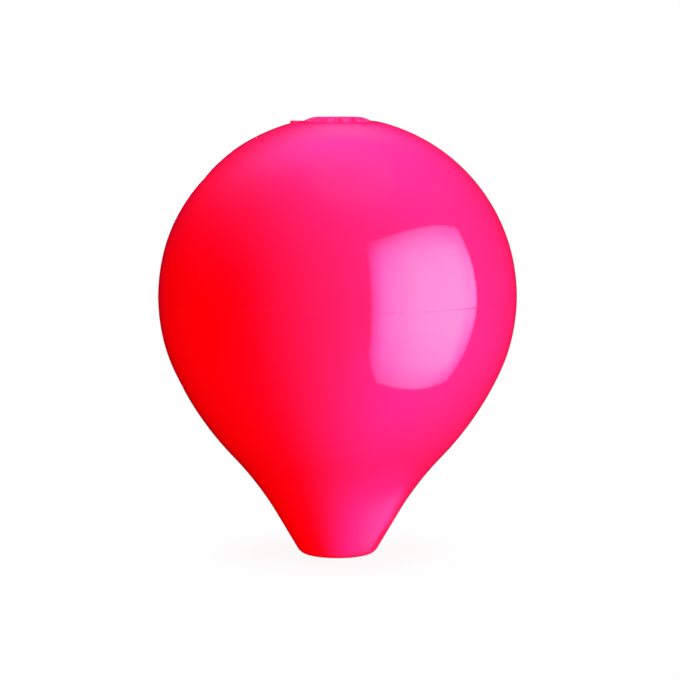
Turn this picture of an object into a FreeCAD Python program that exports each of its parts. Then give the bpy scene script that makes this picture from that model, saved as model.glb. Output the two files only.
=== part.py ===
import FreeCAD, Part
import math
import os

# An inflatable mooring buoy with a centre tube: a ball that runs down through a
# hollow neck to a flat foot, a ribbed collar on its crown and an inflation valve.
# Millimetres and degrees, +Z up. The origin is on the axis, in the plane of the foot.

Vector = FreeCAD.Vector

# Ball and neck. A wall's slope is the angle between its tangent and the vertical.
BALL_RADIUS = 184.0
BALL_CENTRE_Z = 266.4
SKIN_THICKNESS = 3.3
INSIDE_SAG = 1.5
SHOULDER_RADIUS = 323.0
WAIST_RADIUS = 344.0
SHOULDER_STARTS_AT = math.radians(24.7)
STEEPEST_SLOPE = math.radians(43.3)
NECK_SLOPE = math.radians(30.5)
FOOT_EDGE_RADIUS = 11.0

# The crown is pressed flat round the tube.
CROWN_Z = BALL_CENTRE_Z + 179.7
CROWN_EDGE_RADIUS = 30.0

# Centre tube, for the mooring rod.
TUBE_BORE_RADIUS = 17.5
TUBE_RADIUS = 21.0
TUBE_CHAMFER = 0.8
TUBE_RECESS = 0.4

# Ribbed collar on the crown: a hub round the tube and ribs with sloping, rounded ends.
COLLAR_HEIGHT = 4.0
HUB_RADIUS = 23.2
RIB_COUNT = 12
RIB_WIDTH = 7.8
RIB_SHOULDER_RADIUS = 25.2
RIB_END_RADIUS = 34.5
RIB_END_HEIGHT = 0.6
FIRST_RIB_ANGLE = 180 / RIB_COUNT

# Ring that closes the foot between the skin and the tube.
FOOT_RING_RADIUS = 26.5
FOOT_RING_HEIGHT = 12.0

# Inflation valve, beside the collar.
VALVE_X = -41.5
VALVE_TOP_Z = BALL_CENTRE_Z + 180.0
BOSS_RADIUS = 6.7
BARREL_RADIUS = 5.6
BARREL_LENGTH = 18.0
PORT_RADIUS = 3.25
RECESS_RADIUS = 4.9
RECESS_DEPTH = 3.2
SEAL_THICKNESS = 0.8
SEAL_HOLE_RADIUS = 3.3
SEAL_RADIUS = 4.6
FACE_GAP = 0.05
PLUG_HEAD_RADIUS = 4.5
PLUG_SHANK_RADIUS = 3.2
PLUG_SHANK_LENGTH = 12.0
PLUG_SLOT_WIDTH = 1.4
PLUG_SLOT_DEPTH = 1.2

AXIS = Vector(0, 0, 1)


def outward(slope):
    """The outward normal, in the profile plane, of a wall with this slope."""
    return Vector(math.cos(slope), 0, -math.sin(slope))


def downward(slope):
    """The direction down along a wall with this slope."""
    return Vector(-math.sin(slope), 0, -math.cos(slope))


def arc(centre, radius, first_slope, last_slope):
    """An arc of the profile. A negative radius puts its centre outside the wall."""
    slopes = (first_slope, (first_slope + last_slope) / 2, last_slope)
    points = [centre + outward(slope) * radius for slope in slopes]
    return Part.Arc(*points).toShape()


def line(start, end):
    return Part.LineSegment(start, end).toShape()


def end_of(edge):
    return edge.valueAt(edge.LastParameter)


def start_of(edge):
    return edge.valueAt(edge.FirstParameter)


def wall(inset):
    """The edges of the ball's wall from crown to foot, set in from the outside."""
    ball = Vector(0, 0, BALL_CENTRE_Z)

    # crown edge: tangent to the flat crown and to the ball, inside both
    crown_edge_z = CROWN_Z - CROWN_EDGE_RADIUS - BALL_CENTRE_Z
    crown_edge_x = math.sqrt((BALL_RADIUS - CROWN_EDGE_RADIUS) ** 2 - crown_edge_z ** 2)
    crown_edge = ball + Vector(crown_edge_x, 0, crown_edge_z)
    crown_slope = -math.atan2(crown_edge_z, crown_edge_x)

    # the shoulder and the waist each continue the tangent of the arc above
    shoulder = ball + outward(SHOULDER_STARTS_AT) * (BALL_RADIUS - SHOULDER_RADIUS)
    waist = shoulder + outward(STEEPEST_SLOPE) * (SHOULDER_RADIUS + WAIST_RADIUS)

    # the neck is a straight cone that ends where the foot's edge begins
    neck_top = waist - outward(NECK_SLOPE) * WAIST_RADIUS
    neck_end_z = FOOT_EDGE_RADIUS * (1 - math.sin(NECK_SLOPE))
    neck_length = (neck_top.z - neck_end_z) / math.cos(NECK_SLOPE)
    neck_end = neck_top + downward(NECK_SLOPE) * neck_length
    foot_edge = neck_end - outward(NECK_SLOPE) * FOOT_EDGE_RADIUS

    arcs = [
        arc(crown_edge, CROWN_EDGE_RADIUS - inset, math.radians(-90), crown_slope),
        arc(ball, BALL_RADIUS - inset, crown_slope, SHOULDER_STARTS_AT),
        arc(shoulder, SHOULDER_RADIUS - inset, SHOULDER_STARTS_AT, STEEPEST_SLOPE),
        arc(waist, -WAIST_RADIUS - inset, STEEPEST_SLOPE, NECK_SLOPE),
        arc(foot_edge, FOOT_EDGE_RADIUS - inset, NECK_SLOPE, math.radians(90)),
    ]
    neck = line(end_of(arcs[3]), start_of(arcs[4]))
    return arcs[:4] + [neck] + arcs[4:]


def revolved(edges):
    """A solid turned about the axis from the edges of a closed profile."""
    wire = Part.Wire(Part.__sortEdges__(edges))
    return Part.Face(wire).revolve(Vector(), AXIS, 360)


def turned(points):
    """A solid turned about the axis from a profile given as (radius, height) pairs."""
    corners = [Vector(radius, 0, height) for radius, height in points]
    return Part.Face(Part.makePolygon(corners + corners[:1])).revolve(Vector(), AXIS, 360)


def cylinder(radius, low, high, x=0.0):
    return Part.makeCylinder(radius, high - low, Vector(x, 0, low), AXIS)


def filled_ball():
    """Everything inside the outer face of the skin."""
    outer = wall(0)
    top = start_of(outer[0])
    foot = end_of(outer[-1])
    crown = line(Vector(0, 0, top.z), top)
    base = line(foot, Vector(0, 0, foot.z))
    middle = line(Vector(0, 0, foot.z), Vector(0, 0, top.z))
    return revolved([crown] + outer + [base, middle])


def inside_corners():
    """The corners of the skin's inside face, a chain of cones that thicken it by the sag."""
    corners = []
    for edge in wall(SKIN_THICKNESS):
        chords = 1
        if isinstance(edge.Curve, Part.Circle):
            radius = edge.Curve.Radius
            widest = 2 * math.acos(1 - INSIDE_SAG / radius)
            chords = math.ceil(edge.Length / radius / widest)
        corners += edge.discretize(Number=chords + 1)[:-1]
    return corners + [end_of(edge)]


def vinyl_skin():
    """The inflated skin: open for the tube at the crown and the ring at the foot."""
    outer = wall(0)
    path = [Vector(TUBE_RADIUS, 0, CROWN_Z), Vector(TUBE_RADIUS, 0, CROWN_Z - SKIN_THICKNESS)]
    path += inside_corners()
    path += [Vector(FOOT_RING_RADIUS, 0, SKIN_THICKNESS), Vector(FOOT_RING_RADIUS, 0, 0)]
    crown = line(start_of(outer[0]), path[0])
    foot = line(path[-1], end_of(outer[-1]))
    inside = [line(start, end) for start, end in zip(path[:-1], path[1:])]
    skin = revolved(outer + [crown] + inside + [foot])
    valve_hole = cylinder(BARREL_RADIUS, CROWN_Z - 2 * BARREL_LENGTH, CROWN_Z + 1, VALVE_X)
    return skin.cut(valve_hole)


def centre_tube():
    low = TUBE_RECESS
    high = CROWN_Z + COLLAR_HEIGHT - TUBE_RECESS
    return turned([
        (TUBE_BORE_RADIUS, low + TUBE_CHAMFER),
        (TUBE_BORE_RADIUS + TUBE_CHAMFER, low),
        (TUBE_RADIUS, low),
        (TUBE_RADIUS, high),
        (TUBE_BORE_RADIUS + TUBE_CHAMFER, high),
        (TUBE_BORE_RADIUS, high - TUBE_CHAMFER),
    ])


def rib(angle):
    """The upright outline of one rib: parallel sides and a half-round outer end."""
    half = RIB_WIDTH / 2
    length = RIB_END_RADIUS - half
    side = Part.makeBox(length, RIB_WIDTH, COLLAR_HEIGHT, Vector(0, -half, CROWN_Z))
    end = Part.makeCylinder(half, COLLAR_HEIGHT, Vector(length, 0, CROWN_Z), AXIS)
    outline = side.fuse(end).removeSplitter()
    outline.rotate(Vector(), AXIS, angle)
    return outline


def top_collar():
    """The hub and ribs, cut out of one turned ring whose outside slopes down."""
    top = CROWN_Z + COLLAR_HEIGHT
    ring = turned([
        (TUBE_RADIUS, CROWN_Z),
        (RIB_END_RADIUS, CROWN_Z),
        (RIB_END_RADIUS, CROWN_Z + RIB_END_HEIGHT),
        (RIB_SHOULDER_RADIUS, top),
        (TUBE_RADIUS, top),
    ])
    hub = cylinder(HUB_RADIUS, CROWN_Z, top)
    pitch = 360 / RIB_COUNT
    ribs = [rib(FIRST_RIB_ANGLE + number * pitch) for number in range(RIB_COUNT)]
    return ring.common(hub.fuse(ribs)).removeSplitter()


def base_collar():
    """A ring in the opening of the foot, between the skin and the tube."""
    return turned([
        (TUBE_RADIUS, TUBE_RECESS),
        (FOOT_RING_RADIUS, TUBE_RECESS),
        (FOOT_RING_RADIUS, FOOT_RING_HEIGHT),
        (TUBE_RADIUS, FOOT_RING_HEIGHT),
    ])


def valve_seat():
    """A moulded socket: a low round boss outside the skin and a barrel through it."""
    barrel_end = VALVE_TOP_Z - BARREL_LENGTH
    boss = cylinder(BOSS_RADIUS, barrel_end, VALVE_TOP_Z, VALVE_X).cut(filled_ball())
    barrel = cylinder(BARREL_RADIUS, barrel_end, VALVE_TOP_Z, VALVE_X)
    port = cylinder(PORT_RADIUS, barrel_end, VALVE_TOP_Z, VALVE_X)
    recess = cylinder(RECESS_RADIUS, VALVE_TOP_Z - RECESS_DEPTH, VALVE_TOP_Z, VALVE_X)
    return boss.fuse(barrel).cut([port, recess]).removeSplitter()


def valve_seal():
    low = VALVE_TOP_Z - RECESS_DEPTH
    high = low + SEAL_THICKNESS
    hole = cylinder(SEAL_HOLE_RADIUS, low, high, VALVE_X)
    return cylinder(SEAL_RADIUS, low, high, VALVE_X).cut(hole)


def valve_plug():
    """A slotted screw plug, its head flush in the socket and its tip tapered."""
    head_low = VALVE_TOP_Z - RECESS_DEPTH + SEAL_THICKNESS + FACE_GAP
    tip_z = VALVE_TOP_Z - RECESS_DEPTH - PLUG_SHANK_LENGTH
    taper = PLUG_SHANK_RADIUS / 3
    plug = turned([
        (0, VALVE_TOP_Z),
        (0, tip_z),
        (PLUG_SHANK_RADIUS - taper, tip_z),
        (PLUG_SHANK_RADIUS, tip_z + taper),
        (PLUG_SHANK_RADIUS, head_low),
        (PLUG_HEAD_RADIUS, head_low),
        (PLUG_HEAD_RADIUS, VALVE_TOP_Z),
    ])
    slot_corner = Vector(-PLUG_HEAD_RADIUS, -PLUG_SLOT_WIDTH / 2, VALVE_TOP_Z - PLUG_SLOT_DEPTH)
    slot = Part.makeBox(2 * PLUG_HEAD_RADIUS, PLUG_SLOT_WIDTH, PLUG_SLOT_DEPTH, slot_corner)
    plug = plug.cut(slot)
    plug.translate(Vector(VALVE_X, 0, 0))
    return plug


NODES = {
    "vinyl_skin": vinyl_skin,
    "top_collar": top_collar,
    "centre_tube": centre_tube,
    "base_collar": base_collar,
    "valve_seat": valve_seat,
    "valve_seal": valve_seal,
    "valve_plug": valve_plug,
}

os.makedirs("parts", exist_ok=True)
for name, make in NODES.items():
    shape = make()
    shape.exportStep("parts/" + name + ".step")
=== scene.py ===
"""Looks for the inflatable mooring buoy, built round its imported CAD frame.

+Z is up, and the origin is on the axis in the plane of the foot. The object's sizes are in
millimetres until mesh() turns its points to metres. The camera and the lights are in metres.
"""

import math

import bmesh
import bpy
import numpy as np
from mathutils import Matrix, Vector, noise


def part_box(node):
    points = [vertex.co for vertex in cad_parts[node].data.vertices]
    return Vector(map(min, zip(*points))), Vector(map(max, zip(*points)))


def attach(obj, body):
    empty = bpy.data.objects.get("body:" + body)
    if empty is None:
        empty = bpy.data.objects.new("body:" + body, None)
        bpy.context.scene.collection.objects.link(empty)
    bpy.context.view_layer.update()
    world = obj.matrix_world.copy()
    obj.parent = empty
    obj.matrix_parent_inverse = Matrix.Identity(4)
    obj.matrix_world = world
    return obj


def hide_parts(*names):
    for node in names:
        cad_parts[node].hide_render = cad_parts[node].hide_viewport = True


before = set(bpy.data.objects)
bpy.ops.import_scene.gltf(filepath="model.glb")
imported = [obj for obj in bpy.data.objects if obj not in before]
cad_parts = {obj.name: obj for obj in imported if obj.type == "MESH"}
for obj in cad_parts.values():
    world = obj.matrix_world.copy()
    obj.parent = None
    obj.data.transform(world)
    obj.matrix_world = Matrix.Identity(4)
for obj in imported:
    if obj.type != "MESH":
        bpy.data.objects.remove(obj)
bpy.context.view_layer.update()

MM = 0.001

# ---------------------------------------------------------------- CAD sizes, mm

_, skin_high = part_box("vinyl_skin")
_, collar_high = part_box("top_collar")
tube_low, tube_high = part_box("centre_tube")
ring_low, ring_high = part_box("base_collar")
seat_low, seat_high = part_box("valve_seat")
seal_low, seal_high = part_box("valve_seal")
plug_low, plug_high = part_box("valve_plug")

BALL_RADIUS = skin_high.x / MM
CROWN_Z = skin_high.z / MM
CROWN_OVER_CENTRE = 179.7
BALL_CENTRE_Z = CROWN_Z - CROWN_OVER_CENTRE
CROWN_EDGE_RADIUS = 30.0
# the middle of the edge's rounding: over the ball's centre, and out from the axis
CROWN_EDGE_Z = CROWN_Z - CROWN_EDGE_RADIUS - BALL_CENTRE_Z
CROWN_EDGE_X = math.sqrt((BALL_RADIUS - CROWN_EDGE_RADIUS) ** 2 - CROWN_EDGE_Z**2)
SHOULDER_RADIUS = 323.0
WAIST_RADIUS = 344.0
SHOULDER_STARTS_AT = math.radians(24.7)
STEEPEST_SLOPE = math.radians(43.3)
NECK_SLOPE = math.radians(30.5)
FOOT_EDGE_RADIUS = 11.0
SKIN_THICKNESS = 4.2

TUBE_RADIUS = tube_high.x / MM
TUBE_BORE_RADIUS = 17.5
FOOT_RING_RADIUS = ring_high.x / MM

COLLAR_TOP_Z = collar_high.z / MM
HUB_RADIUS = 23.2
RIB_COUNT = 12
RIB_WIDTH = 7.8
RIB_SHOULDER_RADIUS = 25.2
RIB_END_RADIUS = 34.5
RIB_END_HEIGHT = 0.6

VALVE_X = (seat_low.x + seat_high.x) / 2 / MM
VALVE_TOP_Z = seat_high.z / MM
BOSS_RADIUS = (seat_high.x - seat_low.x) / 2 / MM
BARREL_RADIUS = 5.6
RECESS_RADIUS = 4.9
RECESS_Z = seal_low.z / MM
PLUG_HEAD_RADIUS = (plug_high.x - plug_low.x) / 2 / MM
HEAD_GAP = 0.05
PLUG_HEAD_LOW = seal_high.z / MM + HEAD_GAP
SHANK_RADIUS = 3.2
THREAD_PITCH = 2.0
THREAD_DEPTH = 0.55
THREAD_CLEARANCE = 0.1
THREAD_ROW = 0.125
# how steep the thread's sides are, and how much of them its flat crests take
THREAD_SIDES, THREAD_CRESTS = 1.9, 0.45
SLOT_WIDTH = 1.4
SLOT_DEPTH = 1.2

# ---------------------------------------------------------------- surface detail, mm

# the seam is a fine bead between two flats, which lie SEAM_RISE inside the skin's true shape
SEAM_Z = BALL_CENTRE_Z + 1.0
SEAM_RISE = 0.15
SEAM_HALF_WIDTH = 0.36
SEAM_FLAT = (18, 60)
# the rows of points are closer together this many half widths to both sides of the bead
SEAM_BAND = 4.2
SEAM_BAND_ROWS = 27
SEAM_BAND_CLEAR = 1.3
# the inflated skin's slow swell, and how much of it the bead keeps
SWELL_DEPTH = 0.32
SWELL_LENGTH = 105.0
SWELL_MIDDLE = 0.5
SWELL_NOISES = [
    # times finer than SWELL_LENGTH, offset, share
    (1.0, (3.1, 7.7, 1.9), 0.42),
    (2.3, (11.4, 0.6, 5.2), 0.12),
]
SWELL_AT_SEAM = 0.15
# it starts between these distances from the crown's middle, and these heights over the foot
SWELL_FROM_CROWN = (50, 78)
SWELL_CROWN_DROP = 0.3
SWELL_FROM_FOOT = (14, 60)
STREAK_DEPTH = 0.012
STREAKS = 46
# the streaks crowd together this often round the skin, by this much of their phase
STREAK_CROWDS, STREAK_CROWDING = 5, 1.7
# painted shade on the skin round the collar's foot, a deeper tone that stands in for the shadow
# there: full at the first radius, gone at the second
COLLAR_SHADE_RING = (41.0, 54.0)
COLLAR_SHADE_TINT = (0.88, 0.40, 0.72)

# ---------------------------------------------------------------- helpers

SHARP_ANGLE = 40


def face_out(data):
    """Turns the faces of a closed mesh outwards."""
    made = bmesh.new()
    made.from_mesh(data)
    bmesh.ops.recalc_face_normals(made, faces=made.faces)
    made.to_mesh(data)
    made.free()


def smooth(data, sharp):
    data.shade_smooth()
    data.set_sharp_from_angle(angle=math.radians(sharp))


def mesh(name, points, faces, body, nodes, sharp=SHARP_ANGLE):
    """A piece from points in mm. It rides on the body and stands for the CAD nodes."""
    data = bpy.data.meshes.new(name)
    data.from_pydata((np.asarray(points) * MM).tolist(), [], faces)
    face_out(data)
    smooth(data, sharp)
    piece = bpy.data.objects.new(name, data)
    bpy.context.scene.collection.objects.link(piece)
    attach(piece, body)
    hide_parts(*nodes)
    return piece


def ring_faces(rows, columns, closed):
    """Quads between neighbouring rings of points. A closed one joins its last to its first."""
    faces = []
    for row in range(rows if closed else rows - 1):
        above, below = row * columns, (row + 1) % rows * columns
        for column in range(columns):
            after = (column + 1) % columns
            faces.append((above + column, below + column, below + after, above + after))
    return faces


def angles(columns):
    return np.arange(columns) * 2 * math.pi / columns


def turn(radius, height, columns, x=0.0):
    """Rings of points about the upright axis through x. Radius and height are one number a
    row, or one a row and column."""
    radius = np.asarray(radius, float).reshape(len(radius), -1)
    height = np.asarray(height, float).reshape(len(height), -1)
    angle = angles(columns)
    return np.stack(
        [
            x + radius * np.cos(angle),
            radius * np.sin(angle),
            np.broadcast_to(height, (len(height), columns)),
        ],
        axis=-1,
    ).reshape(-1, 3)


def revolved(name, path, columns, body, node, x=0.0):
    """A piece turned from a closed (radius, height) path about the upright axis through x."""
    radius, height = zip(*path)
    return mesh(name, turn(radius, height, columns, x), ring_faces(len(path), columns, True),
                body, [node])


def uneven(rows, columns):
    """Radius and height of turn() from rows of the two, each one number or one a column."""
    return [np.array([np.broadcast_to(part, columns) for part in parts]) for parts in zip(*rows)]


def rounded(corners, steps=5):
    """A closed path through (radius, height, rounding) corners, as (radius, height) points."""
    path = []
    for index, (x, y, rounding) in enumerate(corners):
        corner = Vector((x, y))
        before = Vector(corners[index - 1][:2]) - corner
        after = Vector(corners[(index + 1) % len(corners)][:2]) - corner
        if rounding == 0:
            path.append((x, y))
            continue
        start = corner + before.normalized() * rounding
        end = corner + after.normalized() * rounding
        for step in range(steps + 1):
            share = step / steps
            a = start.lerp(corner, share)
            b = corner.lerp(end, share)
            path.append(tuple(a.lerp(b, share)))
    return path


def split(path, longest):
    """The closed path with no run longer than this."""
    points = []
    for start, end in zip(path, path[1:] + path[:1]):
        count = max(1, math.ceil(math.dist(start, end) / longest))
        for step in range(count):
            share = step / count
            points.append(tuple(a + (b - a) * share for a, b in zip(start, end)))
    return points


def smooth_min(a, b, width):
    overlap = np.clip(0.5 + 0.5 * (b - a) / width, 0, 1)
    return b * (1 - overlap) + a * overlap - width * overlap * (1 - overlap)


def smooth_max(a, b, width):
    return -smooth_min(-a, -b, width)


def smooth_step(low, high, value):
    share = np.clip((value - low) / (high - low), 0, 1)
    return share * share * (3 - 2 * share)


def cut(piece, cutter):
    """Takes the cutter out of the piece's mesh, and removes the cutter."""
    bpy.context.view_layer.update()
    boolean = piece.modifiers.new("cut", "BOOLEAN")
    boolean.operation = "DIFFERENCE"
    boolean.solver = "EXACT"
    boolean.object = cutter
    bpy.context.view_layer.update()
    seen = piece.evaluated_get(bpy.context.evaluated_depsgraph_get())
    data = bpy.data.meshes.new_from_object(seen)
    piece.modifiers.clear()
    old = piece.data
    data.name = old.name + "_cut"
    piece.data = data
    bpy.data.meshes.remove(old)
    bpy.data.objects.remove(cutter)
    smooth(data, SHARP_ANGLE)


def cutter(points, faces):
    data = bpy.data.meshes.new("cutter")
    data.from_pydata((np.asarray(points) * MM).tolist(), [], faces)
    face_out(data)
    tool = bpy.data.objects.new("cutter", data)
    bpy.context.scene.collection.objects.link(tool)
    return tool


# ---------------------------------------------------------------- skin


def outward(slope):
    """The outward normal, as (radius, height), of a wall whose tangent leans by the slope."""
    return np.array([math.cos(slope), -math.sin(slope)])


def wall_rows(steps, inset=0.0):
    """Points and outward normals down the ball's wall, from the crown's rim to the foot's."""
    ball = np.array([0, BALL_CENTRE_Z])
    crown_edge = ball + (CROWN_EDGE_X, CROWN_EDGE_Z)
    crown_slope = -math.atan2(CROWN_EDGE_Z, CROWN_EDGE_X)
    shoulder = ball + outward(SHOULDER_STARTS_AT) * (BALL_RADIUS - SHOULDER_RADIUS)
    waist = shoulder + outward(STEEPEST_SLOPE) * (SHOULDER_RADIUS + WAIST_RADIUS)
    neck_top = waist - outward(NECK_SLOPE) * WAIST_RADIUS
    neck_end_z = FOOT_EDGE_RADIUS * (1 - math.sin(NECK_SLOPE))
    drop = (neck_top[1] - neck_end_z) / math.cos(NECK_SLOPE)
    neck_end = neck_top + drop * np.array([-math.sin(NECK_SLOPE), -math.cos(NECK_SLOPE)])
    foot_edge = neck_end - outward(NECK_SLOPE) * FOOT_EDGE_RADIUS
    chain = [
        (crown_edge, CROWN_EDGE_RADIUS, -math.pi / 2, crown_slope, steps["crown"]),
        (ball, BALL_RADIUS, crown_slope, SHOULDER_STARTS_AT, steps["ball"]),
        (shoulder, SHOULDER_RADIUS, SHOULDER_STARTS_AT, STEEPEST_SLOPE, steps["neck"]),
        (waist, -WAIST_RADIUS, STEEPEST_SLOPE, NECK_SLOPE, steps["neck"]),
        (foot_edge, FOOT_EDGE_RADIUS, NECK_SLOPE, math.pi / 2, steps["foot"]),
    ]
    rows, normals = [], []
    for centre, radius, first, last, step in chain:
        slopes = spread(first, last, step / abs(radius))
        if centre is ball and inset == 0:
            slopes = with_seam(slopes)
        for slope in slopes:
            rows.append(centre + outward(slope) * (radius - inset))
            normals.append(outward(slope))
        if centre is waist:
            count = math.ceil(drop / step)
            for row in range(1, count):
                rows.append(neck_top + (neck_end - neck_top) * row / count
                            - outward(NECK_SLOPE) * inset)
                normals.append(outward(NECK_SLOPE))
    return np.array(rows), np.array(normals)


def spread(first, last, step):
    """Even values from first to last, without the last."""
    return list(np.linspace(first, last, math.ceil(abs(last - first) / step), endpoint=False))


def with_seam(slopes):
    """The ball's rows with a fine band of them along the seam."""
    middle = -math.asin((SEAM_Z - BALL_CENTRE_Z) / BALL_RADIUS)
    band = SEAM_BAND * SEAM_HALF_WIDTH / BALL_RADIUS
    fine = list(np.linspace(middle - band, middle + band, SEAM_BAND_ROWS))
    clear = [slope for slope in slopes if abs(slope - middle) > SEAM_BAND_CLEAR * band]
    return sorted(clear + fine)


def swell(point):
    """How far the inflated skin lies inside its true shape, as a share from 0 to 1."""
    place = Vector(point) / SWELL_LENGTH
    inside = SWELL_MIDDLE
    for finer, offset, share in SWELL_NOISES:
        inside += share * noise.noise(place * finer + Vector(offset))
    return inside


SKIN_COLUMNS = 256
OUTER_STEPS = {"crown": 0.7, "ball": 2.9, "neck": 2.9, "foot": 0.9}
INNER_STEPS = {"crown": 4, "ball": 9, "neck": 9, "foot": 4}
CROWN_STEP = 0.75
SOLE_ROWS = 6
# what the flat rows of the crown and the sole keep clear of: the wall, and the foot ring
CROWN_FROM_WALL = 0.3
SOLE_FROM_WALL, SOLE_FROM_RING = 0.9, 0.4
TUBE_GAP = 0.02
RING_LIP, RING_LIP_HEIGHT = 0.12, 0.4
BARREL_GAP = 0.3
BARREL_COLUMNS = 64
BARREL_HOLE = (CROWN_Z - 12, CROWN_Z + 2)


def skin_dents(wall, normals, outer, angle):
    """How far the swell, the seam and faint upright streaks move the outer wall inwards."""
    out, height = wall.T
    slack = np.array([[swell(point) for point in row] for row in outer])
    calm = smooth_step(*SWELL_FROM_CROWN, out + SWELL_CROWN_DROP * (CROWN_Z - height))
    calm = calm * smooth_step(*SWELL_FROM_FOOT, height)
    bead = np.exp(-(((height - SEAM_Z) / SEAM_HALF_WIDTH) ** 2))
    beside = 1 - smooth_step(*SEAM_FLAT, np.abs(height - SEAM_Z))
    crowding = STREAK_CROWDING * np.sin(STREAK_CROWDS * angle)
    streak = 0.5 + 0.5 * np.sin(STREAKS * angle + crowding)
    depth = slack * (SWELL_DEPTH * calm)[:, None]
    depth = depth * (1 - (1 - SWELL_AT_SEAM) * bead)[:, None]
    depth = depth + (SEAM_RISE * beside * (1 - bead))[:, None]
    depth = depth + STREAK_DEPTH * calm[:, None] * streak
    lean = turn(normals[:, 0], normals[:, 1], SKIN_COLUMNS).reshape(outer.shape)
    return lean * depth[:, :, None]


def skin():
    wall, normals = wall_rows(OUTER_STEPS)
    inside = wall_rows(INNER_STEPS, inset=SKIN_THICKNESS)[0][::-1]
    flat = np.arange(TUBE_RADIUS + TUBE_GAP, wall[0][0] - CROWN_FROM_WALL, CROWN_STEP)
    sole = np.linspace(wall[-1][0] - SOLE_FROM_WALL, FOOT_RING_RADIUS + SOLE_FROM_RING,
                       SOLE_ROWS)
    radius = [*flat, *wall[:, 0], *sole, FOOT_RING_RADIUS + RING_LIP, FOOT_RING_RADIUS,
              FOOT_RING_RADIUS, *inside[:, 0], TUBE_RADIUS + TUBE_GAP]
    height = [*[CROWN_Z] * len(flat), *wall[:, 1], *[0] * len(sole), RING_LIP,
              RING_LIP_HEIGHT, SKIN_THICKNESS, *inside[:, 1], CROWN_Z - SKIN_THICKNESS]
    points = turn(radius, height, SKIN_COLUMNS).reshape(len(radius), SKIN_COLUMNS, 3)
    outer = points[len(flat) : len(flat) + len(wall)]
    outer -= skin_dents(wall, normals, outer, angles(SKIN_COLUMNS))
    piece = mesh("skin", points.reshape(-1, 3), ring_faces(len(radius), SKIN_COLUMNS, True),
                 "buoy", ["vinyl_skin"])

    # the hole for the valve's barrel
    hole = turn([BARREL_RADIUS + BARREL_GAP] * 2, BARREL_HOLE, BARREL_COLUMNS, VALVE_X)
    around = range(BARREL_COLUMNS)
    caps = [tuple(around), tuple(BARREL_COLUMNS + step for step in reversed(around))]
    cut(piece, cutter(hole, ring_faces(2, BARREL_COLUMNS, False) + caps))
    return piece


# ---------------------------------------------------------------- collar


COLLAR_COLUMNS = 960
COLLAR_STEP = 0.2
COLLAR_DRAFT = math.radians(79)
COLLAR_SUNK = 0.4
COLLAR_SKIRT = (RIB_END_RADIUS + 0.8, RIB_END_RADIUS + 1.3)
FLOOR_OVER_CROWN = 0.06
TUBE_GROOVE_DEPTH, TUBE_GROOVE_WIDTH = 0.3, 0.3
# how widely two surfaces melt together: rib into hub, top into slope, top edges and roots
HUB_BLEND, SLOPE_BLEND, EDGE_BLEND, ROOT_BLEND = 1.2, 0.5, 0.8, 0.7


def collar_height(radius, angle):
    """Height over the crown of the hub and its ribs, with drafted sides and soft edges."""
    tall = COLLAR_TOP_Z - CROWN_Z
    pitch = 2 * math.pi / RIB_COUNT
    offset = np.mod(angle, pitch) - pitch / 2
    along, across = radius * np.cos(offset), radius * np.sin(offset)
    half = RIB_WIDTH / 2
    beyond = np.maximum(along - (RIB_END_RADIUS - half), 0)
    from_rib = np.hypot(beyond, across) - half
    outside = smooth_min(from_rib, radius - HUB_RADIUS, HUB_BLEND)
    fall = (tall - RIB_END_HEIGHT) / (RIB_END_RADIUS - RIB_SHOULDER_RADIUS)
    top = smooth_min(tall, tall - (radius - RIB_SHOULDER_RADIUS) * fall, SLOPE_BLEND)
    side = tall / 2 - outside * math.tan(COLLAR_DRAFT)
    height = smooth_min(top, side, EDGE_BLEND)
    height = smooth_max(height, FLOOR_OVER_CROWN, ROOT_BLEND)
    groove = np.exp(-(((radius - TUBE_RADIUS) / TUBE_GROOVE_WIDTH) ** 2))
    height = height - TUBE_GROOVE_DEPTH * groove
    return height - COLLAR_SUNK * smooth_step(*COLLAR_SKIRT, radius)


def collar():
    radius = np.arange(TUBE_RADIUS, COLLAR_SKIRT[1], COLLAR_STEP)
    grid = np.repeat(radius[:, None], COLLAR_COLUMNS, axis=1)
    height = CROWN_Z + collar_height(grid, angles(COLLAR_COLUMNS)[None, :])
    under = [[CROWN_Z - COLLAR_SUNK] * COLLAR_COLUMNS] * 2
    points = turn(
        np.vstack([grid, grid[-1:], grid[:1]]), np.vstack([height, under]), COLLAR_COLUMNS
    )
    return mesh("collar", points, ring_faces(len(radius) + 2, COLLAR_COLUMNS, True),
                "buoy", ["top_collar"], sharp=60)


# ---------------------------------------------------------------- tube and foot ring


TUBE_COLUMNS = 160
TUBE_LONGEST_RUN = 6
BORE_ROUNDING = 0.9
TUBE_LOW_ROUNDING, TUBE_TOP_ROUNDING = 0.25, 0.35
RING_ROWS = 12
WELD_DEPTH, WELD_WIDTH, WELD_EDGE = 0.22, 0.7, 0.02


def tube():
    low, high = tube_low.z / MM, tube_high.z / MM
    path = rounded([
        (TUBE_BORE_RADIUS, low, BORE_ROUNDING),
        (TUBE_RADIUS, low, TUBE_LOW_ROUNDING),
        (TUBE_RADIUS, high, TUBE_TOP_ROUNDING),
        (TUBE_BORE_RADIUS, high, BORE_ROUNDING),
    ])
    return revolved("tube", split(path, TUBE_LONGEST_RUN), TUBE_COLUMNS,
                    "buoy", "centre_tube")


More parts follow.
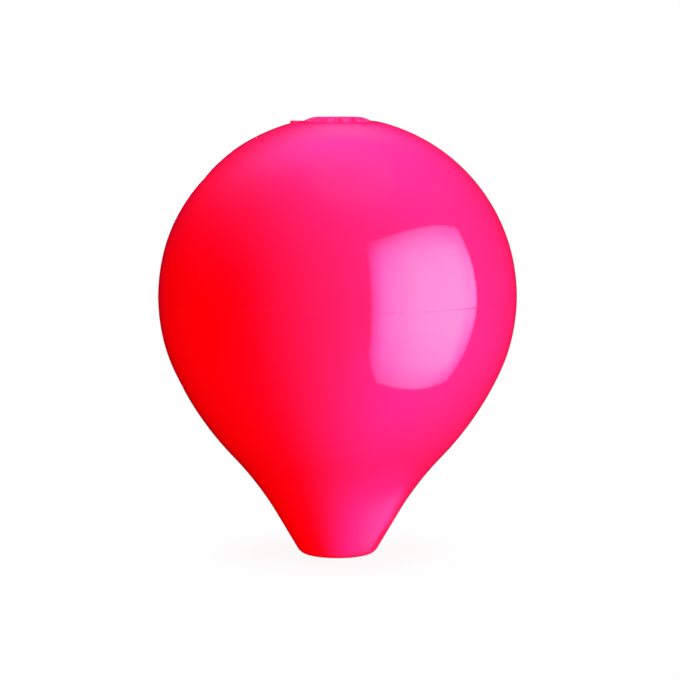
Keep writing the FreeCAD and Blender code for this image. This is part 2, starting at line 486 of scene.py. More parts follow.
def foot_ring():
    low, high = ring_low.z / MM, ring_high.z / MM
    path = [(TUBE_RADIUS, low)]
    for step in range(1, RING_ROWS):
        radius = TUBE_RADIUS + (FOOT_RING_RADIUS - TUBE_RADIUS) * step / RING_ROWS
        weld = WELD_DEPTH * np.exp(-(((radius - FOOT_RING_RADIUS) / WELD_WIDTH) ** 2))
        path.append((radius, low - weld))
    path += [(FOOT_RING_RADIUS, low - WELD_DEPTH - WELD_EDGE), (FOOT_RING_RADIUS, high),
             (TUBE_RADIUS, high)]
    return revolved("foot_ring", path, TUBE_COLUMNS, "buoy", "base_collar")


# ---------------------------------------------------------------- valve


# the share of its radius that the crown's edge is worked out for
EDGE_REACH = 0.9


def crown_height(radius):
    """Height of the skin's outer face near the crown."""
    ball = BALL_CENTRE_Z + np.sqrt(BALL_RADIUS**2 - radius**2)
    beyond = np.clip(radius - CROWN_EDGE_X, 0, CROWN_EDGE_RADIUS * EDGE_REACH)
    edge = BALL_CENTRE_Z + CROWN_EDGE_Z + np.sqrt(CROWN_EDGE_RADIUS**2 - beyond**2)
    return np.where(np.arctan2(beyond, edge - BALL_CENTRE_Z - CROWN_EDGE_Z)
                    < math.atan2(CROWN_EDGE_X, CROWN_EDGE_Z), edge, ball)


def thread_radius(angle, height, crest):
    """A right-handed thread that rises one pitch a turn, with flattened crests and roots."""
    phase = np.mod(height / THREAD_PITCH - angle / (2 * math.pi), 1)
    wave = np.clip(THREAD_SIDES * np.abs(2 * phase - 1) - THREAD_CRESTS, 0, 1)
    return crest - THREAD_DEPTH * wave


VALVE_COLUMNS = 96
RIM_ROUNDING = 0.42
RIM_STEPS = 6
FILLET = 0.9
FILLET_STEPS = 8
# the fillet's least height, and how far its foot lies under the skin
FILLET_LEAST, FILLET_SUNK = 0.02, 0.02
BOSS_SUNK = 1.6
BARREL_CHAMFER = 0.4
# how far under the recess the port's thread ends
PORT_THREAD_END = 0.45
# rounded edges, as (outwards, upwards) steps from their corner
PORT_MOUTH = [(0.15, -0.35), (0.5, 0)]
RECESS_FLOOR_EDGE = [(-0.25, 0), (-0.08, 0.07), (0, 0.25)]
RECESS_RIM_EDGE = [(0, -0.3), (0.09, -0.08), (0.28, 0)]


def edge_at(radius, height, steps):
    """The (radius, height) points of an edge whose corner is there."""
    return [(radius + out, height + up) for out, up in steps]


def crown_under(radius, angle):
    """Height of the crown at points round the valve's axis."""
    return crown_height(np.hypot(VALVE_X + radius * np.cos(angle), radius * np.sin(angle)))


def valve_boss():
    angle = angles(VALVE_COLUMNS)
    low, top = seat_low.z / MM, VALVE_TOP_Z
    # up the recess
    mouth_low, mouth_high = edge_at(SHANK_RADIUS, RECESS_Z, PORT_MOUTH)
    rows = [mouth_high, *edge_at(RECESS_RADIUS, RECESS_Z, RECESS_FLOOR_EDGE),
            *edge_at(RECESS_RADIUS, top, RECESS_RIM_EDGE)]
    # over the rim
    for step in range(RIM_STEPS + 1):
        lean = math.radians(90 / RIM_STEPS * step)
        rows.append((BOSS_RADIUS - RIM_ROUNDING + RIM_ROUNDING * math.sin(lean),
                     top - RIM_ROUNDING + RIM_ROUNDING * math.cos(lean)))
    # down to the skin, in a fillet that follows it
    for step in range(1, FILLET_STEPS + 1):
        share = step / FILLET_STEPS
        radius = BOSS_RADIUS + FILLET * (1 - math.cos(share * math.pi / 2))
        floor = crown_under(radius, angle)
        lift = np.minimum(FILLET, np.maximum(top - RIM_ROUNDING - floor, FILLET_LEAST))
        rows.append((radius, floor + lift * (1 - math.sin(share * math.pi / 2))
                     - FILLET_SUNK * share))
    # under the skin, down the barrel and up the threaded port
    floor = crown_under(BARREL_RADIUS, angle)
    rows += [
        (BOSS_RADIUS + FILLET, floor - BOSS_SUNK), (BARREL_RADIUS, floor - BOSS_SUNK),
        (BARREL_RADIUS, low + BARREL_CHAMFER), (BARREL_RADIUS - BARREL_CHAMFER, low),
        (SHANK_RADIUS + BARREL_CHAMFER, low),
    ]
    for height in np.arange(low + BARREL_CHAMFER, RECESS_Z - PORT_THREAD_END, THREAD_ROW):
        rows.append((thread_radius(angle, height, SHANK_RADIUS + THREAD_CLEARANCE), height))
    rows.append(mouth_low)
    points = turn(*uneven(rows, VALVE_COLUMNS), VALVE_COLUMNS, VALVE_X)
    return mesh("valve_boss", points, ring_faces(len(rows), VALVE_COLUMNS, True),
                "buoy", ["valve_seat"])


WASHER_CLEARANCE = 0.14
WASHER_IN_ROUNDING, WASHER_OUT_ROUNDING = 0.2, 0.25


def valve_washer():
    low, high = seal_low.z / MM, seal_high.z / MM
    inner, outer = SHANK_RADIUS + WASHER_CLEARANCE, (seal_high.x - seal_low.x) / 2 / MM
    path = rounded([(inner, low, WASHER_IN_ROUNDING), (outer, low, WASHER_OUT_ROUNDING),
                    (outer, high, WASHER_OUT_ROUNDING), (inner, high, WASHER_IN_ROUNDING)])
    return revolved("valve_seal_ring", path, VALVE_COLUMNS, "valve_washer",
                    "valve_seal", VALVE_X)


PLUG_TAPER = 1.15
PLUG_NECK_RADIUS = SHANK_RADIUS - 0.45
PLUG_NECK = (PLUG_HEAD_LOW - 1.9, PLUG_HEAD_LOW - 1.1)
# the radius of the ends' caps, and where the rows of the thread start and end
PLUG_CAP_RADIUS = 0.02
PLUG_THREAD_START, PLUG_THREAD_END = 0.02, 0.3
# rounded edges, as (outwards, upwards) steps from their corner, and the fine ring on the face
NECK_EDGE = [(-0.42, -0.22), (-0.2, 0)]
HEAD_LOW_EDGE = [(-0.35, 0), (-0.1, 0.08), (0, 0.32)]
HEAD_TOP_EDGE = [(0, -0.45), (-0.05, -0.26), (-0.19, -0.1), (-0.42, -0.02), (-0.8, 0)]
FACE_RING = [(3.2, 0), (2.6, 0), (2.45, -0.05), (2.3, 0), (1.2, 0), (PLUG_CAP_RADIUS, 0)]
# the slot's cutter: how far it reaches to both sides, how high it stands over the face, and how
# much wider each side of it is up there
SLOT_REACH = 6
SLOT_ROUNDING = 0.12
SLOT_OVER, SLOT_FLARE = 1, 4 * SLOT_ROUNDING


def valve_plug():
    angle = angles(VALVE_COLUMNS)
    tip, top, head = plug_low.z / MM, plug_high.z / MM, PLUG_HEAD_LOW
    # up the thread, which ends in a tapered tip and a plain neck
    rows = [(PLUG_CAP_RADIUS, tip)]
    for height in np.arange(tip + PLUG_THREAD_START, head - PLUG_THREAD_END, THREAD_ROW):
        crest = thread_radius(angle, height, SHANK_RADIUS)
        taper = SHANK_RADIUS - max(0, PLUG_TAPER - (height - tip))
        share = smooth_step(*PLUG_NECK, height)
        rows.append((np.minimum(crest * (1 - share) + PLUG_NECK_RADIUS * share, taper), height))
    # round the head
    rows += edge_at(SHANK_RADIUS, head, NECK_EDGE)
    rows += edge_at(PLUG_HEAD_RADIUS, head, HEAD_LOW_EDGE)
    rows += edge_at(PLUG_HEAD_RADIUS, top, HEAD_TOP_EDGE)
    rows += edge_at(0, top, FACE_RING)
    count = len(rows)
    around = range(VALVE_COLUMNS)
    faces = ring_faces(count, VALVE_COLUMNS, False)
    faces += [tuple(reversed(around)),
              tuple((count - 1) * VALVE_COLUMNS + step for step in around)]
    points = turn(*uneven(rows, VALVE_COLUMNS), VALVE_COLUMNS, VALVE_X)
    piece = mesh("valve_screw_plug", points, faces, "valve_screw", ["valve_plug"],
                 sharp=50)

    # the slot, with rounded top edges
    half, soft, low = SLOT_WIDTH / 2, SLOT_ROUNDING, top - SLOT_DEPTH
    section = [(-half, low + soft), (-half + soft, low), (half - soft, low), (half, low + soft),
               (half, top - soft), (half + soft, top), (half + SLOT_FLARE, top + SLOT_OVER),
               (-half - SLOT_FLARE, top + SLOT_OVER), (-half - soft, top), (-half, top - soft)]
    points = [(VALVE_X + x, y, z) for x in (-SLOT_REACH, SLOT_REACH) for y, z in section]
    count = len(section)
    faces = [(i, (i + 1) % count, count + (i + 1) % count, count + i) for i in range(count)]
    faces += [tuple(range(count - 1, -1, -1)), tuple(range(count, 2 * count))]
    cut(piece, cutter(points, faces))
    return piece


# ---------------------------------------------------------------- materials


def nodes_of(tree):
    """Clears a node tree, and returns the function that adds a node to it.

    It takes the node's kind, its settings, and its inputs: values or the outputs of other
    nodes, by name, with _ for a space, or by number, as _0.
    """
    tree.nodes.clear()

    def add(kind, settings=None, **inputs):
        node = tree.nodes.new(kind)
        for name, value in (settings or {}).items():
            setattr(node, name, value)
        for name, value in inputs.items():
            socket = node.inputs[int(name[1:]) if name[0] == "_" else name.replace("_", " ")]
            if isinstance(value, bpy.types.NodeSocket):
                tree.links.new(value, socket)
            else:
                socket.default_value = value
        return node

    return add


def new_material(name):
    """A material without nodes, and the function that adds its nodes."""
    material = bpy.data.materials.new(name)
    material.use_nodes = True
    return material, nodes_of(material.node_tree)


def ramp(add, value, stops):
    """A colour ramp over stops of (place, colour)."""
    node = add("ShaderNodeValToRGB", _0=value)
    elements = node.color_ramp.elements
    while len(elements) < len(stops):
        elements.new(0.5)
    for element, (place, colour) in zip(elements, stops):
        element.position = place
        element.color = (*colour, 1)
    return node.outputs["Color"]


def times(add, colour, factor, share=1.0):
    """The colour, multiplied by the factor to the given share."""
    return add("ShaderNodeMix", {"data_type": "RGBA", "blend_type": "MULTIPLY"},
               _0=share, _6=colour, _7=factor).outputs[2]


def painted_collar_shade(add, place, tone):
    """The tone with painted shade: a little deeper on the crown round the collar's foot."""
    flat = add("ShaderNodeVectorMath", {"operation": "MULTIPLY"}, _0=place, _1=(1, 1, 0))
    reach = add("ShaderNodeVectorMath", {"operation": "LENGTH"}, _0=flat.outputs[0])
    near = add("ShaderNodeMapRange", {"interpolation_type": "SMOOTHSTEP"},
               Value=reach.outputs["Value"], From_Min=COLLAR_SHADE_RING[0] * MM,
               From_Max=COLLAR_SHADE_RING[1] * MM, To_Min=1.0, To_Max=0.0)
    height = add("ShaderNodeSeparateXYZ", Vector=place).outputs[2]
    high = add("ShaderNodeMath", {"operation": "GREATER_THAN"}, _0=height,
               _1=BALL_CENTRE_Z * MM)
    share = add("ShaderNodeMath", {"operation": "MULTIPLY"}, _0=near.outputs[0],
                _1=high.outputs[0])
    return times(add, tone, (*COLLAR_SHADE_TINT, 1), share.outputs[0])


# Lengths and noise scales of the materials are in metres and per metre.
VINYL_IOR = 1.54
VINYL_SHEEN = (1.0, 0.78, 0.98, 1)
MOTTLE_SCALE, GLOSS_SCALE, GRAIN_SCALE = 14.0, 46.0, 4200.0
MATT_IOR = 1.5


def vinyl(name, colour, shade, roughness, grain, peel, peel_scale, weld=False):
    """Moulded vinyl: mottled colour, uneven gloss, orange peel and a fine grain."""
    material, add = new_material(name)
    place = add("ShaderNodeTexCoord").outputs["Object"]
    cloud = add("ShaderNodeTexNoise", Vector=place, Scale=MOTTLE_SCALE, Detail=3.0,
                Roughness=0.55)
    tone = ramp(add, cloud.outputs[0], [(0.3, shade), (0.7, colour)])
    # weld adds painted shade: a deeper tone on the crown round the collar's foot
    if weld:
        tone = painted_collar_shade(add, place, tone)
    patch = add("ShaderNodeTexNoise", Vector=place, Scale=GLOSS_SCALE, Detail=4.0, Roughness=0.6)
    gloss = add("ShaderNodeMapRange", Value=patch.outputs[0], From_Min=0.25, From_Max=0.75,
                To_Min=roughness[0], To_Max=roughness[1])
    skin_of = add("ShaderNodeTexNoise", Vector=place, Scale=peel_scale, Detail=2.0, Roughness=0.5)
    rough = add("ShaderNodeBump", Strength=1.0, Distance=peel, Height=skin_of.outputs[0])
    fine = add("ShaderNodeTexNoise", Vector=place, Scale=GRAIN_SCALE, Detail=1.0)
    rough = add("ShaderNodeBump", Strength=1.0, Distance=grain, Height=fine.outputs[0],
                Normal=rough.outputs[0])
    surface = add("ShaderNodeBsdfPrincipled", Base_Color=tone, Roughness=gloss.outputs[0],
                  Normal=rough.outputs[0], IOR=VINYL_IOR)
    surface.inputs["Specular Tint"].default_value = VINYL_SHEEN
    add("ShaderNodeOutputMaterial", Surface=surface.outputs[0])
    return material


def matt(name, dark, light, roughness, scale, bump):
    """Nylon or rubber: a speckled dark colour over a grained, dull surface."""
    material, add = new_material(name)
    place = add("ShaderNodeTexCoord").outputs["Object"]
    speck = add("ShaderNodeTexNoise", Vector=place, Scale=scale, Detail=4.0, Roughness=0.65)
    tone = ramp(add, speck.outputs[0], [(0.35, dark), (0.7, light)])
    worn = add("ShaderNodeTexNoise", Vector=place, Scale=scale / 6, Detail=2.0)
    gloss = add("ShaderNodeMapRange", Value=worn.outputs[0], From_Min=0.3, From_Max=0.7,
                To_Min=roughness[0], To_Max=roughness[1])
    grain = add("ShaderNodeBump", Strength=1.0, Distance=bump, Height=speck.outputs[0])
    surface = add("ShaderNodeBsdfPrincipled", Base_Color=tone, Roughness=gloss.outputs[0],
                  Normal=grain.outputs[0], IOR=MATT_IOR)
    add("ShaderNodeOutputMaterial", Surface=surface.outputs[0])
    return material


PINK = (0.965, 0.0230, 0.224)
PINK_SHADE = (0.960, 0.0212, 0.212)
SATIN_PINK = (0.92, 0.0215, 0.205)
SATIN_SHADE = (0.88, 0.0195, 0.190)

# the skin's vinyl carries painted shade round the collar's foot (weld=True)
gloss_vinyl = vinyl("gloss_vinyl", PINK, PINK_SHADE, (0.06, 0.10), 2e-7, 9e-6, 330.0, weld=True)
moulded_vinyl = vinyl("moulded_vinyl", PINK, PINK_SHADE, (0.16, 0.26), 1e-6, 1.2e-5, 700.0)
satin_vinyl = vinyl("satin_vinyl", SATIN_PINK, SATIN_SHADE, (0.3, 0.42), 2e-6, 2e-5, 500.0)
nylon = matt("black_nylon", (0.018, 0.018, 0.020), (0.034, 0.034, 0.037), (0.38, 0.5),
             1500.0, 1e-5)
rubber = matt("black_rubber", (0.012, 0.012, 0.012), (0.026, 0.025, 0.025), (0.6, 0.75),
              2600.0, 1.5e-5)

for make, material in (
    (skin, gloss_vinyl),
    (collar, moulded_vinyl),
    (tube, satin_vinyl),
    (foot_ring, satin_vinyl),
    (valve_boss, moulded_vinyl),
    (valve_washer, rubber),
    (valve_plug, nylon),
):
    piece = make()
    piece.data.materials.clear()
    piece.data.materials.append(material)

# ---------------------------------------------------------------- camera

# From here on sizes are in metres. The camera looks at the ball from the front and slightly
# above, as the photograph does.
CAMERA_DISTANCE = 2.6697
CAMERA_RISE = 0.2546
PITCH = math.radians(6.40)
SIDEWAYS = 0.00257
LENS, SENSOR = 138.27, 36

centre = Vector((0, 0, BALL_CENTRE_Z * MM))
camera = bpy.data.objects.new("camera", bpy.data.cameras.new("camera"))
camera.data.lens = LENS
camera.data.sensor_width = SENSOR
camera.data.clip_start = 0.05
camera.data.clip_end = 200
camera.location = centre + Vector((0, -CAMERA_DISTANCE, CAMERA_RISE))
target = Vector((SIDEWAYS, 0, camera.location.z - CAMERA_DISTANCE * math.tan(PITCH)))
camera.rotation_euler = (target - camera.location).to_track_quat("-Z", "Y").to_euler()
bpy.context.scene.collection.objects.link(camera)
bpy.context.scene.camera = camera

# ---------------------------------------------------------------- floor

FLOOR_RADIUS = 40.0
FLOOR_SIDES = 96
# how much of the floor takes the object's shadow: this share near the foot, none further out
SHADOW_SHARE = 0.08
SHADOW_FADES = (0.05, 0.17)
SHADOW_CARD = (0.5, 1.0, 1.0, 1)

floor_data = bpy.data.meshes.new("floor")
floor_rim = turn([FLOOR_RADIUS / MM], [0], FLOOR_SIDES) * MM
floor_data.from_pydata(floor_rim.tolist(), [], [tuple(range(FLOOR_SIDES))])
floor = bpy.data.objects.new("floor", floor_data)
bpy.context.scene.collection.objects.link(floor)
floor.visible_glossy = False
floor.visible_diffuse = False
floor.visible_shadow = False

paper, add = new_material("paper")
place = add("ShaderNodeTexCoord").outputs["Object"]
distance = add("ShaderNodeVectorMath", {"operation": "LENGTH"}, _0=place)
share = add("ShaderNodeMapRange", {"interpolation_type": "SMOOTHSTEP"},
            Value=distance.outputs["Value"], From_Min=SHADOW_FADES[0],
            From_Max=SHADOW_FADES[1], To_Min=SHADOW_SHARE, To_Max=0.0)
white = add("ShaderNodeEmission", Color=(1, 1, 1, 1), Strength=1.0)
card = add("ShaderNodeBsdfDiffuse", Color=SHADOW_CARD)
both = add("ShaderNodeMixShader", Fac=share.outputs[0], _1=white.outputs[0], _2=card.outputs[0])
# the floor can be looked through from below
clear = add("ShaderNodeBsdfTransparent")
side = add("ShaderNodeNewGeometry").outputs["Backfacing"]
seen = add("ShaderNodeMixShader", Fac=side, _1=both.outputs[0], _2=clear.outputs[0])
add("ShaderNodeOutputMaterial", Surface=seen.outputs[0])
floor_data.materials.append(paper)

# ---------------------------------------------------------------- light


def direction(azimuth, elevation):
    """The way to a place, in degrees: 0 towards the camera, 90 to the object's right in view."""
    azimuth, elevation = math.radians(azimuth), math.radians(elevation)
    return Vector((
        math.sin(azimuth) * math.cos(elevation),
        -math.cos(azimuth) * math.cos(elevation),
        math.sin(elevation),
    ))


def gloss_card(data, material):
    """Stages a card that only gloss shows."""
    card = bpy.data.objects.new(data.name, data)
    bpy.context.scene.collection.objects.link(card)
    card.visible_camera = False
    card.visible_diffuse = False
    card.visible_shadow = False
    data.materials.append(material)


def colour_points(data, name, colours):
    """Gives the mesh's points their colours, as a layer of that name."""
    layer = data.color_attributes.new(name, "FLOAT_COLOR", "POINT")
    for point, colour in zip(layer.data, colours):
        point.color = (*colour, 1)


def place_points(data, name, places):
    """Gives the mesh's points their (across, up) places, as a UV map of that name."""
    layer = data.uv_layers.new(name=name)
    for loop in data.loops:
        layer.data[loop.index].uv = places[loop.vertex_index]


def uv_of(add):
    return add("ShaderNodeSeparateXYZ", Vector=add("ShaderNodeUVMap").outputs[0]).outputs


def colours_of(add, name):
    return add("ShaderNodeVertexColor", {"layer_name": name}).outputs[0]


def shares(table):
    """Ramp stops from rows of (place, share of green, share of the rest)."""
    return [(stop, (rest, green, rest)) for stop, green, rest in table]


# The softbox to the right of the camera. Its outline is drawn as the ball mirrors it, on an
# upright plane OUTLINE_DISTANCE from the ball's axis: (sideways, up) from the middle of the
# ball. The card itself stands CARD_DISTANCE from the axis, each of its points on the ray that
# the outline's point sends the camera by way of the ball. The outline's points were taken
# from a trace of the photograph's highlight, and the levels from measurements of it.
SOFTBOX_AZIMUTH = 60
OUTLINE_DISTANCE = 1.1
CARD_DISTANCE = 0.25
SOFTBOX_OUTLINE = [
    (-0.92, 1.04), (-0.60, 0.97), (-0.25, 0.92), (0.13, 0.88), (0.45, 0.84), (0.78, 0.78),
    (0.73, 0.50), (0.71, 0.22), (0.70, -0.08), (0.66, -0.38), (0.62, -0.68), (0.61, -0.97),
    (0.22, -1.13), (-0.22, -1.24), (-0.60, -1.33), (-0.82, -1.04), (-0.92, -0.78),
    (-0.93, -0.30), (-0.93, 0.15), (-0.93, 0.60),
]
# how bright each corner is beside the middle, and how far out the fading starts
SOFTBOX_EDGE = [1, 1, 0.9, 0.8, 0.6, 0.35, 0.5, 0.7, 0.65, 0.3, 0.25, 0.3, 0.85] + [1] * 7
SOFTBOX_FADES_AT = 0.62
# green falls off as the brightness does, and the rest as this power of it
SOFTBOX_REST_FADES = 0.5
# the card's rings of points, as shares of the way to the outline, and points a corner
SOFTBOX_RINGS = [0.02, 0.2, 0.4, SOFTBOX_FADES_AT, 0.75, 0.88, 1.0]
SOFTBOX_PARTS = 4
# place across or up the outline, share of green, share of the rest
SOFTBOX_ACROSS = [
    (0.0, 0.13, 0.28), (0.05, 0.24, 0.54), (0.135, 0.53, 0.86), (0.216, 0.72, 0.98),
    (0.287, 0.78, 0.96), (0.35, 0.90, 0.98), (0.427, 1.0, 1.0), (0.5, 1.0, 1.0),
    (0.63, 0.99, 0.93), (0.725, 0.93, 0.91), (0.81, 0.80, 0.80), (0.95, 0.72, 0.76),
    (1.0, 0.66, 0.66),
]
SOFTBOX_UP = [
    (0.0, 0.33, 0.45), (0.12, 0.46, 0.63), (0.194, 0.58, 0.73), (0.257, 0.72, 0.84),
    (0.34, 0.83, 0.90), (0.435, 0.96, 0.97), (0.56, 1.0, 1.0), (0.69, 0.96, 0.97),
    (0.78, 0.82, 0.92), (0.865, 0.58, 0.72), (0.93, 0.30, 0.40), (1.0, 0.15, 0.20),
]
SOFTBOX_COLOUR = (1.0, 0.63, 0.907)
SOFTBOX_LEVEL = 11.0
MIRROR_STEPS = 16


def near_card(point, facing):
    """The place on the card of a point of the outline's plane."""
    eye = Vector((0, -CAMERA_DISTANCE, CAMERA_RISE))
    spot = Vector((0, 0, 0))
    for _ in range(MIRROR_STEPS):
        out = (point - spot).normalized()
        spot = (out + (eye - spot).normalized()).normalized() * BALL_RADIUS * MM
    return centre + spot + out * (CARD_DISTANCE - spot.dot(facing)) / out.dot(facing)


def softbox():
    facing, side = direction(SOFTBOX_AZIMUTH, 0), direction(SOFTBOX_AZIMUTH + 90, 0)
    corners = np.array(SOFTBOX_OUTLINE)
    low, high, middle = corners.min(axis=0), corners.max(axis=0), corners.mean(axis=0)
    count = SOFTBOX_PARTS * len(corners)
    step, corner = np.arange(count) / SOFTBOX_PARTS, np.arange(len(corners) + 1)
    outline = np.stack([np.interp(step, corner, [*column, column[0]]) for column in corners.T],
                       axis=-1)
    edge_level = np.interp(step, corner, [*SOFTBOX_EDGE, SOFTBOX_EDGE[0]])
    points, levels = [], []
    for share in SOFTBOX_RINGS:
        fade = max(0, (share - SOFTBOX_FADES_AT) / (1 - SOFTBOX_FADES_AT))
        points.extend(middle + (outline - middle) * share)
        levels.extend(1 - fade * (1 - edge_level))
    places = [near_card(facing * OUTLINE_DISTANCE + side * across + Vector((0, 0, up)), facing)
              for across, up in points]
    faces = ring_faces(len(SOFTBOX_RINGS), count, False) + [tuple(range(count))]
    data = bpy.data.meshes.new("softbox")
    data.from_pydata(places, [], faces)
    rests = [level**SOFTBOX_REST_FADES for level in levels]
    colour_points(data, "edge", zip(rests, levels, rests))
    place_points(data, "across", (np.array(points) - low) / (high - low))

    material, add = new_material("softbox")
    across, up = uv_of(add)[:2]
    fabric = times(add, ramp(add, across, shares(SOFTBOX_ACROSS)),
                   ramp(add, up, shares(SOFTBOX_UP)))
    fabric = times(add, fabric, colours_of(add, "edge"))
    tinted = times(add, fabric, (*SOFTBOX_COLOUR, 1))
    glow = add("ShaderNodeEmission", Color=tinted, Strength=SOFTBOX_LEVEL)
    add("ShaderNodeOutputMaterial", Surface=glow.outputs[0])
    gloss_card(data, material)


softbox()

# A lit patch of floor beside the foot, which only the gloss of the neck shows. Its radii and
# height are in millimetres. Its tables were set from measurements of the neck in the
# photograph.
PATCH_ROUND = [
    # azimuth, inner radius, outer radius, share of green, share of the rest
    (-20, 38, 114, 0.0, 0.0), (3, 38, 116, 0.02, 0.09), (20, 38, 117, 0.18, 0.23),
    (36, 38, 120, 0.56, 0.52), (49, 38, 124, 0.92, 0.76), (62, 40, 129, 1.0, 0.92),
    (70, 45, 132, 1.0, 0.98), (80, 54, 138, 0.88, 0.94), (90, 66, 146, 0.64, 0.76),
    (100, 76, 154, 0.34, 0.45), (110, 84, 161, 0.16, 0.21), (122, 90, 168, 0.0, 0.0),
]
# place from the inner to the outer radius, share of green, share of the rest
PATCH_OUTWARD = [
    (0.0, 0.0, 0.0), (0.06, 0.36, 0.36), (0.13, 0.72, 0.68), (0.26, 0.98, 0.98),
    (0.43, 1.0, 1.0), (0.53, 1.0, 0.97), (0.59, 0.82, 0.84), (0.625, 0.64, 0.72),
    (0.675, 0.38, 0.52), (0.705, 0.18, 0.38), (0.74, 0.10, 0.27), (0.85, 0.07, 0.18),
    (1.0, 0.0, 0.0),
]
PATCH_COLUMNS = 49
PATCH_HEIGHT = 0.02
PATCH_COLOUR = (1.0, 0.25, 1.0)
PATCH_LEVEL = 2.0


def patch():
    table = np.array(PATCH_ROUND, float)
    azimuth = np.linspace(table[0, 0], table[-1, 0], PATCH_COLUMNS)
    inner, outer, green, rest = (np.interp(azimuth, table[:, 0], column)
                                 for column in table[:, 1:].T)
    angle = np.radians(azimuth)
    ring = np.stack([np.sin(angle), -np.cos(angle)], axis=-1)
    flat = np.vstack([ring * inner[:, None], ring * outer[:, None]])
    points = np.hstack([flat, np.full((len(flat), 1), PATCH_HEIGHT)])
    count = PATCH_COLUMNS
    data = bpy.data.meshes.new("patch")
    data.from_pydata((points * MM).tolist(), [],
                     [(i, count + i, count + i + 1, i + 1) for i in range(count - 1)])
    place_points(data, "outward", [(0.5, row) for row in (0, 1) for _ in range(count)])
    colour_points(data, "round", np.tile(np.stack([rest, green, rest], axis=-1), (2, 1)))

    material, add = new_material("patch")
    fabric = times(add, colours_of(add, "round"), ramp(add, uv_of(add)[1], shares(PATCH_OUTWARD)))
    tinted = times(add, fabric, (*PATCH_COLOUR, 1))
    glow = add("ShaderNodeEmission", Color=tinted, Strength=PATCH_LEVEL)
    clear = add("ShaderNodeBsdfTransparent")
    both = add("ShaderNodeAddShader", _0=glow.outputs[0], _1=clear.outputs[0])
    add("ShaderNodeOutputMaterial", Surface=both.outputs[0])
    gloss_card(data, material)


patch()

# Cards that stand out from the ball, one edge on to the photograph's camera and one behind the
# ball. They keep each softbox's mirror image off the rims of the side views. The front one
# glows low down as the room does, so that it doesn't show.
FLAGS = {
    # name: azimuth, lowest point and outer radius in millimetres, glow
    "front_flag": (8.0, 100.0, 260.0, 1.0),
    "rear_flag": (166.0, 170.0, 300.0, 0.0),
}
FLAG_GAP, FLAG_HIGH = 2.0, 430.0
FLAG_STEPS = {"crown": 4, "ball": 6, "neck": 6, "foot": 4}
# heights between which the glow fades, and its level from the lower to the upper
FLAG_GLOWS = (0.13, 0.27)
FLAG_LEVELS = [(0.0, 0.9), (0.43, 1.0), (0.536, 0.73), (0.643, 0.42), (0.75, 0.18),
               (0.857, 0.06), (1.0, 0.0)]
FLAG_COLOUR = np.array((1, 1 / 16, 1))


def flag(name, azimuth, low, outer, glow):
    wall, _ = wall_rows(FLAG_STEPS, inset=-FLAG_GAP)
    wall = wall[(wall[:, 1] > low) & (wall[:, 1] < FLAG_HIGH)]
    toward = direction(azimuth, 0)
    points = [(toward.x * reach, toward.y * reach, height)
              for radius, height in wall for reach in (radius, outer)]
    faces = [(2 * row, 2 * row + 1, 2 * row + 3, 2 * row + 2) for row in range(len(wall) - 1)]
    data = bpy.data.meshes.new(name)
    data.from_pydata((np.array(points) * MM).tolist(), [], faces)
    material, add = new_material(name)
    place = add("ShaderNodeSeparateXYZ", Vector=add("ShaderNodeTexCoord").outputs["Object"])
    share = add("ShaderNodeMapRange", Value=place.outputs[2], From_Min=FLAG_GLOWS[0],
                From_Max=FLAG_GLOWS[1])
    tone = ramp(add, share.outputs[0],
                [(stop, glow * level * FLAG_COLOUR) for stop, level in FLAG_LEVELS])
    light = add("ShaderNodeEmission", Color=tone, Strength=1.0)
    add("ShaderNodeOutputMaterial", Surface=light.outputs[0])
    gloss_card(data, material)


for name, settings in FLAGS.items():
    flag(name, *settings)

# A small softbox close behind the ball, which the photograph's camera can't see mirrored.
REAR_AZIMUTH = 208
REAR_DISTANCE = 0.27
REAR_HALF_WIDTH, REAR_LOW, REAR_HIGH = 0.075, -0.13, 0.15
REAR_CELLS = 14
REAR_COLOUR = np.array((1, 0.63, 0.92))
REAR_LEVEL = 6.5
# how much it darkens to both sides, to its top and foot, and from its top to its middle
REAR_FADE_ACROSS, REAR_FADE_UP, REAR_TILT = 0.45, 0.25, 0.1


def rear_softbox():
    facing, side = direction(REAR_AZIMUTH, 0), direction(REAR_AZIMUTH + 90, 0)
    steps = np.linspace(-1, 1, REAR_CELLS + 1)
    middle, half_height = (REAR_LOW + REAR_HIGH) / 2, (REAR_HIGH - REAR_LOW) / 2
    places, colours = [], []
    for up in steps:
        for across in steps:
            places.append(centre + facing * REAR_DISTANCE + side * REAR_HALF_WIDTH * across
                          + Vector((0, 0, middle + half_height * up)))
            level = 1 - REAR_FADE_ACROSS * across**4 - REAR_FADE_UP * up**4
            level *= 1 - REAR_TILT + REAR_TILT * up
            colours.append(REAR_COLOUR * level)
    row = REAR_CELLS + 1
    faces = [(corner, corner + 1, corner + row + 1, corner + row)
             for corner in (row * i + j for i in range(REAR_CELLS) for j in range(REAR_CELLS))]
    data = bpy.data.meshes.new("rear_softbox")
    data.from_pydata(places, [], faces)
    colour_points(data, "glow", colours)
    material, add = new_material("rear_softbox")
    glow = add("ShaderNodeEmission", Color=colours_of(add, "glow"), Strength=REAR_LEVEL)
    add("ShaderNodeOutputMaterial", Surface=glow.outputs[0])
    gloss_card(data, material)


rear_softbox()

# The light on dull surfaces. These lamps have no mirror image: the softboxes and the room
# have that. The far ones are suns, and the near ones stand NEAR from the ball's middle. All but
# the back one follow a fit to the photograph's shading.
NEAR = 0.41
SPREAD = math.radians(16)
BULB = 0.16
LAMPS = {
    # name: azimuth, elevation, level, near
    "key": (62, 8, 0.86, False),
    "front": (36, -13, 0.27, True),
    "top": (20, 70, 0.71, True),
    "back": (196, 14, 0.50, False),
}

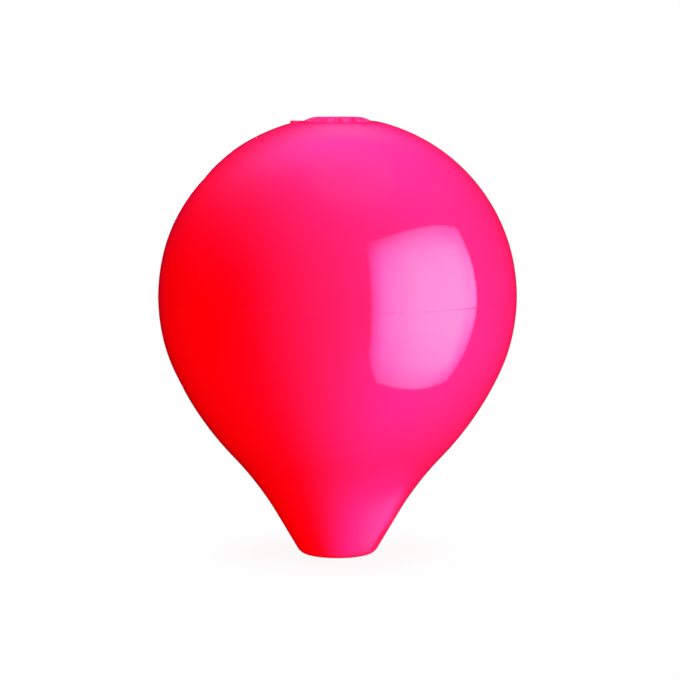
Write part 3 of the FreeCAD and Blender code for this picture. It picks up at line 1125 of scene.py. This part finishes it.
for name, (azimuth, elevation, level, near) in LAMPS.items():
    lamp_data = bpy.data.lights.new(name, "POINT" if near else "SUN")
    if near:
        lamp_data.shadow_soft_size = BULB
        lamp_data.energy = 4 * math.pi**2 * NEAR**2 * level
    else:
        lamp_data.angle = SPREAD
        lamp_data.energy = math.pi * level
    lamp = bpy.data.objects.new(name, lamp_data)
    toward = direction(azimuth, elevation)
    lamp.location = centre + toward * NEAR
    lamp.rotation_euler = toward.to_track_quat("Z", "Y").to_euler()
    lamp.visible_glossy = False
    lamp.visible_camera = False
    bpy.context.scene.collection.objects.link(lamp)

# The room: white to the camera, warm to dull surfaces, and dark in the gloss but for glows
# over the far side and one under the near side.
ROOM_WARMTH = (1.12, 0.004, 0.012)
ROOM_GLOWS = [
    # from, sharpness, colour
    (direction(210, 60), 14.0, (1.2, 0.30, 1.2)),
    (direction(50, -58), 8.0, (1.6, 0.10, 1.6)),
    (direction(176, 44), 50.0, (0.3, 0.30, 0.10)),
]

world = bpy.data.worlds.new("room")
bpy.context.scene.world = world
world.use_nodes = True
add = nodes_of(world.node_tree)
look = add("ShaderNodeTexCoord").outputs["Generated"]
mirrored = (0, 0, 0)
for source, sharpness, colour in ROOM_GLOWS:
    facing = add("ShaderNodeVectorMath", {"operation": "DOT_PRODUCT"}, _0=look, _1=source)
    lit_side = add("ShaderNodeMath", {"operation": "MAXIMUM"}, _0=facing.outputs["Value"], _1=0.0)
    power = add("ShaderNodeMath", {"operation": "POWER"}, _0=lit_side.outputs[0], _1=sharpness)
    tinted = add("ShaderNodeVectorMath", {"operation": "SCALE"}, _0=colour, Scale=power.outputs[0])
    mirrored = add("ShaderNodeVectorMath", {"operation": "ADD"}, _0=mirrored,
                   _1=tinted.outputs[0]).outputs[0]
path = add("ShaderNodeLightPath")
lit = add("ShaderNodeMix", {"data_type": "RGBA"}, _0=path.outputs["Is Glossy Ray"],
          _6=(*ROOM_WARMTH, 1), _7=mirrored)
seen = add("ShaderNodeMix", {"data_type": "RGBA"}, _0=path.outputs["Is Camera Ray"],
           _6=lit.outputs[2], _7=(1, 1, 1, 1))
background = add("ShaderNodeBackground", Color=seen.outputs[2], Strength=1.0)
add("ShaderNodeOutputWorld", Surface=background.outputs[0])

bpy.context.scene.view_settings.view_transform = "Standard"
